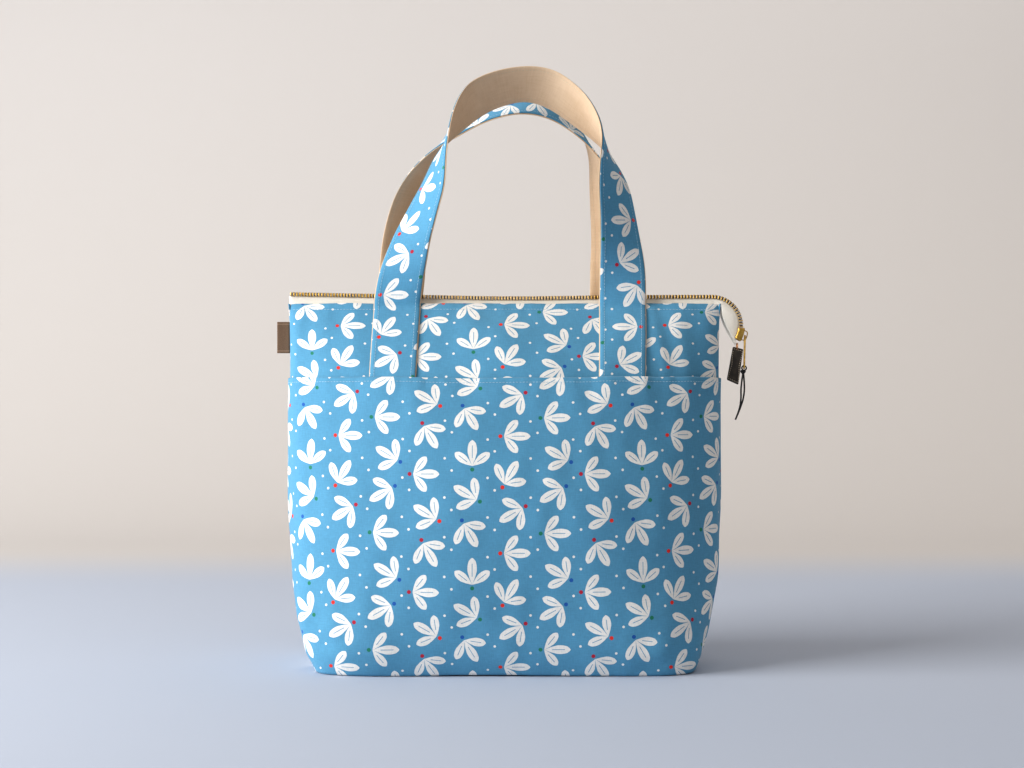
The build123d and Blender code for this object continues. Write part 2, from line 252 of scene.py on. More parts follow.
def upright_place(tree):
    """Object place with height second, for upright pieces with no cloth map."""
    turn = tree.nodes.new("ShaderNodeMapping")
    turn.inputs["Rotation"].default_value = (math.radians(-90.0), 0.0, 0.0)
    tree.links.new(object_place(tree), turn.inputs["Vector"])
    return turn.outputs[0]


def noise(tree, place, scale, detail=3.0, rough=0.55):
    node = tree.nodes.new("ShaderNodeTexNoise")
    node.inputs["Scale"].default_value = scale
    node.inputs["Detail"].default_value = detail
    node.inputs["Roughness"].default_value = rough
    tree.links.new(place, node.inputs["Vector"])
    return Sum(tree, node.outputs["Fac"])


def add_bump(tree, shader, height, strength, distance):
    node = tree.nodes.new("ShaderNodeBump")
    node.inputs["Strength"].default_value = strength
    node.inputs["Distance"].default_value = distance
    tree.links.new(height.socket, node.inputs["Height"])
    tree.links.new(node.outputs["Normal"], shader.inputs["Normal"])


def brightened(tree, colour, amount):
    """colour times amount, which is a Sum near 1."""
    node = tree.nodes.new("ShaderNodeVectorMath")
    node.operation = "SCALE"
    tree.links.new(colour, node.inputs[0])
    tree.links.new(amount.socket, node.inputs["Scale"])
    return node.outputs[0]


def weave(tree, place, pitch, slub=0.35):
    """Plain weave height: threads over and under, with uneven yarn."""
    split = tree.nodes.new("ShaderNodeSeparateXYZ")
    tree.links.new(place, split.inputs[0])
    u = Sum(tree, split.outputs[0]) * (math.pi / pitch)
    v = Sum(tree, split.outputs[1]) * (math.pi / pitch)
    over = u.make("SINE") * v.make("SINE")
    return abs(over) * (1.0 - slub) + noise(tree, place, 0.35 / pitch, 4.0, 0.7) * slub


def printed_material():
    """The printed cotton: ink on uneven yarns in a fine plain weave."""
    material, tree, shader = new_material("printed_cotton")
    place = cloth_place(tree)
    group = tree.nodes.new("ShaderNodeGroup")
    group.node_tree = print_group()
    tree.links.new(place, group.inputs["Place"])
    soft = noise(tree, place, 26.0, 3.0, 0.6)
    yarns = []
    for scale in ((1.0, 0.14, 1.0), (0.14, 1.0, 1.0)):
        stretch = tree.nodes.new("ShaderNodeMapping")
        stretch.inputs["Scale"].default_value = scale
        tree.links.new(place, stretch.inputs["Vector"])
        yarns.append(noise(tree, stretch.outputs[0], 1150.0, 2.0, 0.75))
    shade = 0.62 + soft * 0.14 + (yarns[0] + yarns[1]) * 0.31
    tree.links.new(brightened(tree, group.outputs["Color"], shade), shader.inputs["Base Color"])
    shader.inputs["Roughness"].default_value = 0.86
    shader.inputs["Sheen Weight"].default_value = 0.12
    shader.inputs["Sheen Roughness"].default_value = 0.5
    add_bump(tree, shader, weave(tree, place, 0.00042), 0.35, 0.00012)
    return material


def woven_material(name, base, dark, pitch, strength=0.6, sheen=0.1, patch=18.0, depth=0.00018,
                   place_of=cloth_place):
    """Plain woven cloth in two close shades, with uneven yarns and soft patches."""
    material, tree, shader = new_material(name)
    place = place_of(tree)
    stretch = tree.nodes.new("ShaderNodeMapping")
    stretch.inputs["Scale"].default_value = (1.0, 0.12, 1.0)
    tree.links.new(place, stretch.inputs["Vector"])
    cross = tree.nodes.new("ShaderNodeMapping")
    cross.inputs["Scale"].default_value = (0.12, 1.0, 1.0)
    tree.links.new(place, cross.inputs["Vector"])
    yarns = noise(tree, stretch.outputs[0], 0.5 / pitch, 2.0, 0.6) * 0.5
    yarns = yarns + noise(tree, cross.outputs[0], 0.5 / pitch, 2.0, 0.6) * 0.5
    patches = noise(tree, place, patch, 3.0, 0.6)
    share = (yarns * 0.6 + patches * 0.6 - 0.1).above(0.5, 0.42)
    tree.links.new(mix_colour(tree, share, dark, base), shader.inputs["Base Color"])
    shader.inputs["Roughness"].default_value = 0.9
    shader.inputs["Sheen Weight"].default_value = sheen
    add_bump(tree, shader, weave(tree, place, pitch), strength, depth)
    return material


def metal_material(name, base, dark, rough, inside=None):
    """Cast and tumbled metal with dull patches and fine scratches. inside is a painted shade colour for the middle of
    the chain, where the rows of teeth interlock.
    """
    material, tree, shader = new_material(name)
    place = object_place(tree)
    patches = noise(tree, place, 350.0, 4.0, 0.65)
    fine = noise(tree, place, 2600.0, 2.0, 0.6)
    colour = mix_colour(tree, patches.above(0.5, 0.25), dark, base)
    # Painted shade: the middle of the chain, where the two rows of teeth interlock, is coloured dark
    if inside:
        split = tree.nodes.new("ShaderNodeSeparateXYZ")
        tree.links.new(place, split.inputs[0])
        depth = abs(Sum(tree, split.outputs[1])) * 1000.0
        colour = mix_colour(tree, depth.above(1.0, 0.35), inside, colour)
    tree.links.new(colour, shader.inputs["Base Color"])
    shader.inputs["Metallic"].default_value = 1.0
    tree.links.new((rough - 0.08 + patches * 0.22).socket, shader.inputs["Roughness"])
    add_bump(tree, shader, fine, 0.25, 0.00004)
    return material


def leather_material():
    """Dark pebbled leather with worn patches."""
    material, tree, shader = new_material("tab_leather")
    place = object_place(tree)
    cells = tree.nodes.new("ShaderNodeTexVoronoi")
    cells.feature = "SMOOTH_F1"
    cells.inputs["Scale"].default_value = 1500.0
    tree.links.new(place, cells.inputs["Vector"])
    grain = Sum(tree, cells.outputs["Distance"])
    broad = noise(tree, place, 260.0, 4.0, 0.6)
    colour = mix_colour(tree, broad.above(0.52, 0.2), (0.022, 0.017, 0.012), (0.054, 0.042, 0.030))
    tree.links.new(colour, shader.inputs["Base Color"])
    tree.links.new((0.42 + broad * 0.25).socket, shader.inputs["Roughness"])
    add_bump(tree, shader, grain + broad * 0.6, 0.5, 0.00012)
    return material


def cord_material():
    """Black waxed cord with a plaited surface."""
    material, tree, shader = new_material("waxed_cord")
    place = object_place(tree)
    wave = tree.nodes.new("ShaderNodeTexWave")
    wave.bands_direction = "DIAGONAL"
    wave.inputs["Scale"].default_value = 420.0
    wave.inputs["Distortion"].default_value = 1.2
    tree.links.new(place, wave.inputs["Vector"])
    plait = Sum(tree, wave.outputs["Fac"])
    # Painted shade: the plait's grooves, where the bump sinks, are coloured darker
    colour = mix_colour(tree, plait, (0.006, 0.006, 0.007), (0.022, 0.021, 0.022))
    tree.links.new(colour, shader.inputs["Base Color"])
    shader.inputs["Roughness"].default_value = 0.38
    add_bump(tree, shader, plait, 0.5, 0.0001)
    return material


def label_material():
    """Blank woven label: brown ground with a lighter border line."""
    material, tree, shader = new_material("label_weave")
    place = cloth_place(tree)
    split = tree.nodes.new("ShaderNodeSeparateXYZ")
    tree.links.new(place, split.inputs[0])
    height = Sum(tree, split.outputs[1])
    border = (0.0004 - abs(abs(height - 0.013) - 0.0112)).above(0.0, 0.00008)
    threads = noise(tree, place, 1400.0, 2.0, 0.7)
    ground = mix_colour(tree, threads.above(0.5, 0.3), (0.115, 0.066, 0.038), (0.20, 0.125, 0.075))
    tree.links.new(mix_colour(tree, border * 0.8, ground, (0.30, 0.20, 0.13)), shader.inputs["Base Color"])
    shader.inputs["Roughness"].default_value = 0.8
    add_bump(tree, shader, weave(tree, place, 0.0004), 0.6, 0.00012)
    return material


PRINTED = printed_material()
LINEN = woven_material(
    "linen_backing", (0.78, 0.595, 0.42), (0.61, 0.42, 0.255), 0.00075, 0.8, 0.15, 22.0, 0.00025
)
TAPE = woven_material("zip_tape", (0.88, 0.84, 0.765), (0.78, 0.73, 0.64), 0.0005, 0.7, 0.1, 40.0)
LINING = woven_material(
    "lining_cotton", (0.72, 0.70, 0.64), (0.60, 0.58, 0.52), 0.0005, 0.5, place_of=upright_place
)
BOARD = woven_material("base_board", (0.62, 0.61, 0.58), (0.50, 0.49, 0.47), 0.0012, 0.5, place_of=object_place)
THREAD = woven_material("pale_thread", (0.46, 0.64, 0.74), (0.30, 0.49, 0.62), 0.0003, 0.6, 0.2)
BEIGE_THREAD = woven_material("beige_thread", (0.70, 0.60, 0.46), (0.55, 0.45, 0.32), 0.0003, 0.6, 0.2)
BRASS = metal_material("brass", (0.74, 0.48, 0.13), (0.42, 0.25, 0.06), 0.30)
# The teeth's last colour is painted shade in the middle of the chain, between the rows
TEETH = metal_material("brass_teeth", (0.78, 0.52, 0.15), (0.52, 0.32, 0.08), 0.30, (0.055, 0.030, 0.010))
COPPER = metal_material("copper", (0.80, 0.42, 0.22), (0.48, 0.22, 0.10), 0.30)
LEATHER = leather_material()
CORD = cord_material()
LABEL = label_material()


# ---------------------------------------------------------------- mesh helpers
def build(name, vertices, faces, uvs, material):
    """A mesh object with its cloth map in metres. uvs has one pair for each vertex."""
    mesh = bpy.data.meshes.new(name)
    mesh.from_pydata([tuple(p) for p in vertices], [], [tuple(f) for f in faces])
    layer = mesh.uv_layers.new(name="cloth")
    corners = np.empty(len(mesh.loops), dtype=np.int64)
    mesh.loops.foreach_get("vertex_index", corners)
    layer.data.foreach_set("uv", np.asarray(uvs, float)[corners].astype(np.float32).ravel())
    mesh.polygons.foreach_set("use_smooth", [True] * len(mesh.polygons))
    mesh.materials.append(material)
    mesh.validate()
    mesh.update()
    piece = bpy.data.objects.new(name, mesh)
    bpy.context.scene.collection.objects.link(piece)
    return piece


def unit(vectors):
    """The same directions, each one metre long."""
    length = np.linalg.norm(vectors, axis=-1, keepdims=True)
    return vectors / np.maximum(length, 1e-12)


def grid_normals(grid, towards):
    """Normals of a grid of points, on the side of the given direction at each point."""
    du = np.gradient(grid, axis=1)
    dv = np.gradient(grid, axis=0)
    normal = unit(np.cross(du, dv))
    flip = np.sum(np.sum(normal * towards, axis=-1)) < 0
    return -normal if flip else normal


def shell(name, outer, normal, thickness, uv, material):
    """A sheet of cloth with two faces and a rounded rim. outer is a rows x columns grid of points."""
    rows, columns = outer.shape[:2]
    inner = outer - normal * thickness
    count = rows * columns
    index = np.arange(count).reshape(rows, columns)
    loop = list(index[0, :-1]) + list(index[:-1, -1]) + list(index[-1, :0:-1]) + list(index[:0:-1, 0])
    out = np.zeros_like(outer)
    out[0] += unit(outer[0] - outer[1])
    out[-1] += unit(outer[-1] - outer[-2])
    out[:, 0] += unit(outer[:, 0] - outer[:, 1])
    out[:, -1] += unit(outer[:, -1] - outer[:, -2])
    rim = ((outer + inner) / 2 + unit(out) * thickness * 0.5).reshape(-1, 3)[loop]
    vertices = np.vstack([outer.reshape(-1, 3), inner.reshape(-1, 3), rim])
    vertices[:, 2] = np.maximum(vertices[:, 2], FLOOR_GAP)
    flat_uv = uv.reshape(-1, 2)
    uvs = np.vstack([flat_uv, flat_uv, flat_uv[loop]])
    a, b = index[:-1, :-1].ravel(), index[:-1, 1:].ravel()
    c, d = index[1:, 1:].ravel(), index[1:, :-1].ravel()
    quads = np.stack([a, b, c, d], axis=1)
    first = outer.reshape(-1, 3)
    facing = np.cross(first[b] - first[a], first[d] - first[a])
    loop = np.array(loop)
    following = np.roll(loop, -1)
    rim_ids = 2 * count + np.arange(len(loop))
    rim_following = np.roll(rim_ids, -1)
    front_rim = np.stack([loop, following, rim_following, rim_ids], axis=1)
    back_rim = np.stack([rim_ids, rim_following, following + count, loop + count], axis=1)
    if np.sum(facing * normal.reshape(-1, 3)[a]) < 0:
        quads = quads[:, ::-1]
    else:
        front_rim, back_rim = front_rim[:, ::-1], back_rim[:, ::-1]
    faces = np.vstack([quads, quads[:, ::-1] + count, front_rim, back_rim])
    return build(name, vertices, faces, uvs, material)


def skin_faces(count, size, closed=False):
    """Faces of a skin over count rings of size points, with end caps unless the rings close up."""
    faces = []
    for i in range(count if closed else count - 1):
        j = (i + 1) % count
        for k in range(size):
            m = (k + 1) % size
            faces.append((i * size + k, i * size + m, j * size + m, j * size + k))
    if not closed:
        faces.append(tuple(range(size))[::-1])
        faces.append(tuple((count - 1) * size + k for k in range(size)))
    return faces


def run_along(line):
    """Distance along a line of points, from its start."""
    return np.concatenate([[0], np.cumsum(np.linalg.norm(np.diff(line, axis=0), axis=1))])


def rings(name, loops, material, closed=False):
    """A skin over rings of points, each ring a closed line."""
    loops = np.asarray(loops, float)
    count, size = loops.shape[:2]
    run = run_along(loops.mean(axis=1))
    around = np.linalg.norm(loops - np.roll(loops, 1, axis=1), axis=2).sum(axis=1).mean()
    uvs = [(around * k / size, run[i]) for i in range(count) for k in range(size)]
    return build(name, loops.reshape(-1, 3), skin_faces(count, size, closed), uvs, material)


def joined(name, chunks, material):
    """One mesh from many small ones, each a list of points and a list of faces."""
    vertices, faces, start = [], [], 0
    for points, sides in chunks:
        vertices.extend(points)
        faces.extend([tuple(i + start for i in side) for side in sides])
        start += len(points)
    vertices = np.asarray(vertices, float)
    uvs = vertices[:, [0, 2]] + vertices[:, [1, 1]] * 0.5
    return build(name, vertices, faces, uvs, material)


def spline(points, counts):
    """Smooth line through points, sampled evenly along its length."""
    points = np.asarray(points, float)
    padded = np.vstack([2 * points[0] - points[1], points, 2 * points[-1] - points[-2]])
    fine = []
    for i in range(1, len(padded) - 2):
        p0, p1, p2, p3 = padded[i - 1], padded[i], padded[i + 1], padded[i + 2]
        for t in np.linspace(0, 1, 24, endpoint=False):
            fine.append(
                0.5 * (2 * p1 + (p2 - p0) * t + (2 * p0 - 5 * p1 + 4 * p2 - p3) * t**2
                       + (3 * p1 - p0 - 3 * p2 + p3) * t**3)
            )
    fine.append(points[-1])
    fine = np.array(fine)
    run = run_along(fine[:, :3])
    even = np.linspace(0, run[-1], counts)
    return np.stack([np.interp(even, run, fine[:, k]) for k in range(fine.shape[1])], axis=1)


def ripple(seed, count, shortest, longest, stretch=1.0):
    """Sum of waves in two directions, between -1 and 1 or so: soft uneven cloth."""
    chance = np.random.default_rng(seed)
    lengths = np.exp(chance.uniform(math.log(shortest), math.log(longest), count))
    turns = chance.uniform(0, math.pi, count)
    starts = chance.uniform(0, 2 * math.pi, count)

    def height(u, v):
        total = np.zeros_like(u)
        for length, turn, start in zip(lengths, turns, starts):
            k = 2 * math.pi / length
            total += np.sin(k * (u * math.cos(turn) + v * math.sin(turn) * stretch) + start)
        return total / math.sqrt(count)

    return height


def ease(value, start, end):
    """0 at start, 1 at end, smooth between them."""
    t = np.clip((value - start) / (end - start), 0, 1)
    return t * t * (3 - 2 * t)


# ---------------------------------------------------------------- body of the bag
# Height, half width and half depth in mm, and squareness: 2 is an ellipse, more is boxier
OUTLINE = np.array([
    (0.0, 153.0, 62.5, 7.0), (9.0, 157.5, 67.0, 5.8), (50.0, 169.5, 75.0, 3.4), (120.0, 179.0, 78.0, 2.4),
    (190.0, 180.0, 67.5, 2.05), (240.0, 180.2, 49.5, 2.0), (280.0, 181.0, 26.0, 2.0), (301.0, 182.0, 7.5, 2.0),
])
OUTLINE[:, :3] *= MM


def outline_at(height):
    """Half width, half depth and squareness at a height, on a smooth line through OUTLINE."""
    z = OUTLINE[:, 0]
    i = int(np.clip(np.searchsorted(z, height) - 1, 0, len(z) - 2))
    span = z[i + 1] - z[i]
    t = (height - z[i]) / span
    slope = np.gradient(OUTLINE[:, 1:], z, axis=0)
    h00, h10 = 2 * t**3 - 3 * t**2 + 1, t**3 - 2 * t**2 + t
    h01, h11 = -2 * t**3 + 3 * t**2, t**3 - t**2
    return (h00 * OUTLINE[i, 1:] + h10 * span * slope[i] + h01 * OUTLINE[i + 1, 1:] + h11 * span * slope[i + 1])


def outline_row(height, columns):
    """Evenly spaced points of the front half outline, left seam to right seam, with the run from the middle."""
    width, depth, power = outline_at(height)
    turn = np.linspace(math.pi, 0, 900)
    x = np.sign(np.cos(turn)) * np.abs(np.cos(turn)) ** (2 / power) * width
    y = -np.maximum(np.sin(turn), 0) ** (2 / power) * depth
    run = np.concatenate([[0], np.cumsum(np.hypot(np.diff(x), np.diff(y)))])
    even = np.linspace(0, run[-1], columns)
    return np.interp(even, run, x), np.interp(even, run, y), even - run[-1] / 2


def front_y(x, height):
    """Where the front panel's surface is at x and a height."""
    width, depth, power = outline_at(height)
    return -depth * max(1 - abs(x / width) ** power, 0.0) ** (1 / power)


def body_grid(heights, columns, sign):
    """Points and cloth places of one side of the bag."""
    points, places = [], []
    rise, last = 0.0, None
    for height in heights:
        x, y, run = outline_row(height, columns)
        middle = (height, y[columns // 2])
        if last is not None:
            rise += math.hypot(middle[0] - last[0], middle[1] - last[1])
        last = middle
        points.append(np.stack([x, sign * -y if sign > 0 else y, np.full(columns, height)], axis=1))
        places.append(np.stack([run if sign < 0 else -run, np.full(columns, rise)], axis=1))
    return np.array(points), np.array(places)


COLUMNS = 176
TOP_SEAM = 0.2962  # height of the stitches under the zip
FOOT_ROWS = 22  # rows of a side of the bag that lie under it
FRONT_SEED, BACK_SEED = 11, 51
# Listed folds: x, z, width and reach in metres, height in mm
FOLDS = (
    (0.128, 0.262, 0.0055, 0.030, 1.3), (0.150, 0.250, 0.0075, 0.040, 1.0), (0.137, 0.205, 0.0085, 0.035, 0.9),
    (-0.062, 0.205, 0.010, 0.030, 0.7), (0.066, 0.190, 0.011, 0.040, 0.8), (-0.120, 0.180, 0.010, 0.045, 0.6),
)


def foot_lift(x, z):
    """How far the bottom edge lifts between the corners."""
    return 0.0011 * np.clip(1 - (x / 0.15) ** 2, 0, 1) * np.exp(-np.maximum(z, 0) / 0.012)


def settle(grid, places, seed):
    """How far the cloth stands off its even shape: slack, drag lines and puckered seams."""
    u, v = places[..., 0], places[..., 1]
    x, z = grid[..., 0], grid[..., 2]
    broad = ripple(seed, 7, 0.09, 0.22)(u, v) * 1.15
    medium = ripple(seed + 1, 12, 0.024, 0.06)(u, v) * 0.30
    side = np.clip(np.abs(x) / 0.165, 0, 1) ** 2.5
    upright = ripple(seed + 2, 9, 0.022, 0.06, 0.22)(u, v) * 0.95 * side
    corner = np.exp(-((np.abs(x) - 0.143) / 0.03) ** 2 - ((z - 0.02) / 0.035) ** 2)
    drag = ripple(seed + 3, 8, 0.014, 0.035)(u, v) * 0.7 * corner
    top = ripple(seed + 4, 10, 0.007, 0.016, 0.3)(u, v) * 0.16 * np.exp(-((z - 0.2965) / 0.006) ** 2)
    folds = 0.0
    for fold_x, fold_z, width, reach, height in FOLDS:
        lean = (x - fold_x + (z - fold_z) * 0.16 * np.sign(fold_x)) / width
        folds = folds + height * np.exp(-(lean**2) - ((z - fold_z) / reach) ** 2)
    keep = ease(0.301 - z, 0.0, 0.02) * 0.75 + 0.25
    # Both sides of the bag meet in one seam, and the cloth never sinks into its lining
    seam = ease(np.abs(u[:, -1:]) - np.abs(u), 0.0, 0.016)
    stand = (broad * keep + medium + upright + drag + top + folds) * seam + 1.1 * seam
    stand = 0.5 * (stand + np.sqrt(stand * stand + 0.25)) - 0.35
    return stand * seam * MM


def side_of_bag(name, sign, seed):
    """Panel with its half of the bottom, from the middle of the bottom up to the zip."""
    heights = np.concatenate([np.linspace(0.0008, 0.012, 8), np.linspace(0.015, 0.3008, 116)])
    grid, places = body_grid(heights, COLUMNS, sign)
    # Half of the bottom: rows from the middle line out to the foot of the side
    foot = grid[0]
    shares = np.linspace(0.0, 0.97, FOOT_ROWS)
    under = np.array([foot * (1, share, 1) for share in shares])
    under[..., 2] += ((1 - shares) ** 2)[:, None] * 0.0006
    depth = abs(foot[COLUMNS // 2][1])
    under_places = np.array([
        np.stack([places[0][:, 0], np.full(COLUMNS, -depth * (1 - share))], axis=1) for share in shares
    ])
    grid = np.concatenate([under, grid])
    places = np.concatenate([under_places, places])
    towards = grid * (0.3, 1.0, 0.0) + (0, 0, -0.002)
    normal = grid_normals(grid, towards)
    stand = settle(grid, places, seed)
    stand[:FOOT_ROWS] *= 0.15
    stand[:, :3] -= np.array([0.9, 0.45, 0.15]) * MM
    stand[:, -3:] -= np.array([0.15, 0.45, 0.9]) * MM
    grid = grid + normal * stand[..., None]
    lift = foot_lift(grid[..., 0], grid[..., 2]) * np.clip(np.abs(grid[..., 1]) / 0.06, 0, 1)
    grid[..., 2] = np.maximum(grid[..., 2] + lift, 0.0004)
    piece = shell(name, grid, grid_normals(grid, towards), 1.5 * MM, places, PRINTED)
    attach(piece, "bag")
    return piece, grid


front_side, front_grid = side_of_bag("bag_front", -1, FRONT_SEED)
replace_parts(front_side, "front_panel")
back_side, back_grid = side_of_bag("bag_back", 1, BACK_SEED)
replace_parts(back_side, "back_panel")


# ---------------------------------------------------------------- stitches
SEAM_STITCH = (2.7 * MM, 2.25 * MM, 0.21 * MM)  # pitch, length and half width
LINEN_STITCH = (2.9 * MM, 1.9 * MM, 0.22 * MM)
TAB_STITCH = (1.75 * MM, 1.25 * MM, 0.21 * MM)


def stitch_run(path, normal, pitch, length, thick):
    """Small arched stitches along a line of points, lying on the side of normal."""
    path = np.asarray(path, float)
    run = run_along(path)
    chunks = []
    at = pitch * 0.5
    while at + length < run[-1]:
        spots = at + length * np.array([0.0, 0.12, 0.5, 0.88, 1.0])
        widths = thick * np.array([0.25, 0.85, 1.0, 0.85, 0.25])
        lifts = thick * np.array([-0.5, 0.15, 0.55, 0.15, -0.5])
        centre = np.stack([np.interp(spots, run, path[:, k]) for k in range(3)], axis=1)
        up = unit(np.stack([np.interp(spots, run, normal[:, k]) for k in range(3)], axis=1))
        along = unit(np.gradient(centre, axis=0))
        across = unit(np.cross(along, up))
        points = []
        for c, u, a, w, lift in zip(centre, up, across, widths, lifts):
            for k in range(6):
                turn = math.pi * k / 3
                points.append(c + u * (lift + w * 0.7 * math.sin(turn)) + a * w * math.cos(turn))
        chunks.append((points, skin_faces(len(spots), 6)))
        at += pitch
    return chunks


def line_across(grid, normal, height_of):
    """The line across a grid at the height that height_of gives for a column's heights, with its normals."""
    line, ups = [], []
    for column in range(2, grid.shape[1] - 2):
        zs = grid[:, column, 2]
        at = height_of(zs)
        line.append([np.interp(at, zs, grid[:, column, k]) for k in range(3)])
        ups.append([np.interp(at, zs, normal[:, column, k]) for k in range(3)])
    return np.array(line), np.array(ups)


for side_name, grid in (("front", front_grid), ("back", back_grid)):
    side_normal = grid_normals(grid, grid * (0.3, 1.0, 0.0) + (0, 0, -0.002))
    line, ups = line_across(grid[FOOT_ROWS:], side_normal[FOOT_ROWS:], lambda zs: TOP_SEAM)
    stitches = joined("top_stitches_" + side_name, stitch_run(line, ups, *SEAM_STITCH), THREAD)
    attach(stitches, "bag")


# ---------------------------------------------------------------- slip pocket
STRAP_CENTRES = (-0.091, 0.0955)
HEM = 0.2385


def pocket():
    """Slip pocket over the lower front, caught in the side seams, open and a little slack at its hem."""
    heights = np.concatenate([np.linspace(0.0011, 0.012, 6), np.linspace(0.016, HEM, 92)])
    grid, places = body_grid(heights, COLUMNS, -1)
    towards = grid * (0.3, 1.0, 0.0)
    normal = grid_normals(grid, towards)
    stand = settle(grid, places, FRONT_SEED)
    x, z = grid[..., 0], grid[..., 2]
    tucked = sum(ease(0.030 - np.abs(x - c), 0.0, 0.014) for c in STRAP_CENTRES)
    near_hem = ease(z, 0.175, HEM)
    gap = 0.5 + near_hem * (1.9 + 1.2 * tucked)
    slack = ripple(77, 8, 0.05, 0.12, 0.5)(places[..., 0], places[..., 1]) * 0.45 * near_hem
    pucker = ripple(78, 10, 0.007, 0.015, 0.2)(places[..., 0], places[..., 1]) * 0.16
    pucker = pucker * np.exp(-((z - HEM + 0.0035) / 0.006) ** 2)
    edge = np.clip(np.abs(x) / 0.179, 0, 1) ** 12
    thickness = 1.3
    stand = stand + (thickness + gap * (1 - 0.7 * edge) + slack + pucker) * MM
    stand[:, :2] -= np.array([0.8, 0.35]) * MM
    stand[:, -2:] -= np.array([0.35, 0.8]) * MM
    grid = grid + normal * stand[..., None]
    # Hem sags a little between the straps, and the foot lifts with the bottom edge
    x, z = grid[..., 0], grid[..., 2]
    grid[..., 2] -= 0.0018 * np.clip(1 - (x / 0.17) ** 2, 0, 1) * ease(z, 0.17, HEM)
    grid[..., 2] = np.maximum(grid[..., 2] + foot_lift(x, z), 0.0006)
    places = places + (0.0, 0.0073)
    normal = grid_normals(grid, towards)
    piece = shell("front_pocket_cloth", grid, normal, thickness * MM, places, PRINTED)
    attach(piece, "bag")
    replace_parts(piece, "front_pocket")
    line, ups = line_across(grid, normal, lambda zs: zs[-1] - 3.4 * MM)
    stitches = joined("pocket_hem_stitches", stitch_run(line, ups, *SEAM_STITCH), THREAD)
    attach(stitches, "bag")


pocket()

# ---------------------------------------------------------------- straps
# Stations along each free handle, left to right: the points of its inner and outer edges in mm
FRONT_HANDLE = np.array([
    ((-71.0, -11.0, 303.0), (-107.5, -11.0, 303.0)), ((-68.0, -15.0, 325.0), (-103.5, -9.0, 326.0)),
    ((-62.0, -24.0, 354.0), (-93.0, -4.5, 356.5)), ((-51.8, -31.0, 396.0), (-71.0, -4.0, 396.5)),
    ((-47.0, -36.0, 433.0), (-54.0, -3.8, 430.5)), ((-37.0, -36.0, 469.5), (-33.0, -3.8, 449.0)),
    ((-19.0, -34.5, 486.5), (-9.0, -3.8, 464.5)), ((17.0, -33.5, 494.5), (15.0, -3.8, 471.0)),
    ((45.0, -34.0, 489.5), (35.0, -3.8, 466.0)), ((68.0, -35.5, 469.0), (60.0, -3.8, 450.0)),
    ((80.5, -36.0, 439.0), (85.5, -3.8, 429.5)), ((79.0, -31.0, 397.0), (104.0, -4.0, 397.0)),
    ((80.0, -24.0, 357.0), (113.0, -5.0, 359.0)), ((80.2, -15.0, 326.0), (116.7, -9.5, 326.5)),
    ((80.0, -11.0, 303.0), (117.0, -11.0, 303.0)),
]) * MM
BACK_HANDLE = np.array([
    ((-71.0, 11.0, 303.0), (-107.5, 11.0, 303.0)), ((-69.0, 14.5, 326.0), (-105.0, 9.0, 326.0)),
    ((-67.5, 22.5, 360.0), (-101.0, 5.0, 364.0)), ((-65.0, 30.5, 397.0), (-88.0, 4.2, 399.0)),
    ((-60.0, 35.5, 430.0), (-65.0, 3.8, 427.0)), ((-43.0, 36.0, 459.0), (-36.0, 3.8, 446.0)),
    ((-21.0, 34.5, 476.5), (-12.0, 3.8, 457.5)), ((14.0, 33.5, 485.5), (13.0, 3.8, 462.5)),
    ((41.0, 34.0, 479.5), (37.0, 3.8, 459.0)), ((62.0, 35.5, 461.0), (60.0, 3.8, 445.5)),
    ((73.0, 36.0, 433.0), (79.0, 3.8, 426.5)), ((75.5, 30.5, 400.0), (96.0, 4.2, 398.0)),
    ((76.0, 23.5, 360.0), (106.5, 5.0, 360.5)), ((74.5, 15.0, 326.0), (109.8, 9.5, 326.5)),
    ((73.5, 11.0, 303.0), (110.0, 11.0, 303.0)),
]) * MM
STRAP = 37.0 * MM
STRAP_COLUMNS = 15
LINEN_WIDER = 1.042
SEWN = (214.0, 228.0, 242.0, 256.0, 270.0, 283.0, 294.0)  # heights of the sewn ends' stations, mm
SEWN_LOW, SEWN_HIGH = 214.0, 297.0
EDGE_SHARE = 3.1 / 37.0  # the stitches' share of the strap's width, from its edge


def lie_on(side_grid, x, z):
    """Depth of a side of the bag at points given by x and z, from the nearest points of its cloth."""
    points = side_grid[FOOT_ROWS:].reshape(-1, 3)
    depth = np.empty(x.shape)
    for i in np.ndindex(x.shape):
        far = (points[:, 0] - x[i]) ** 2 + (points[:, 2] - z[i]) ** 2
        near = np.argpartition(far, 5)[:5]
        weight = 1 / (far[near] + 1e-8)
        depth[i] = np.sum(points[near, 1] * weight) / np.sum(weight)
    return depth


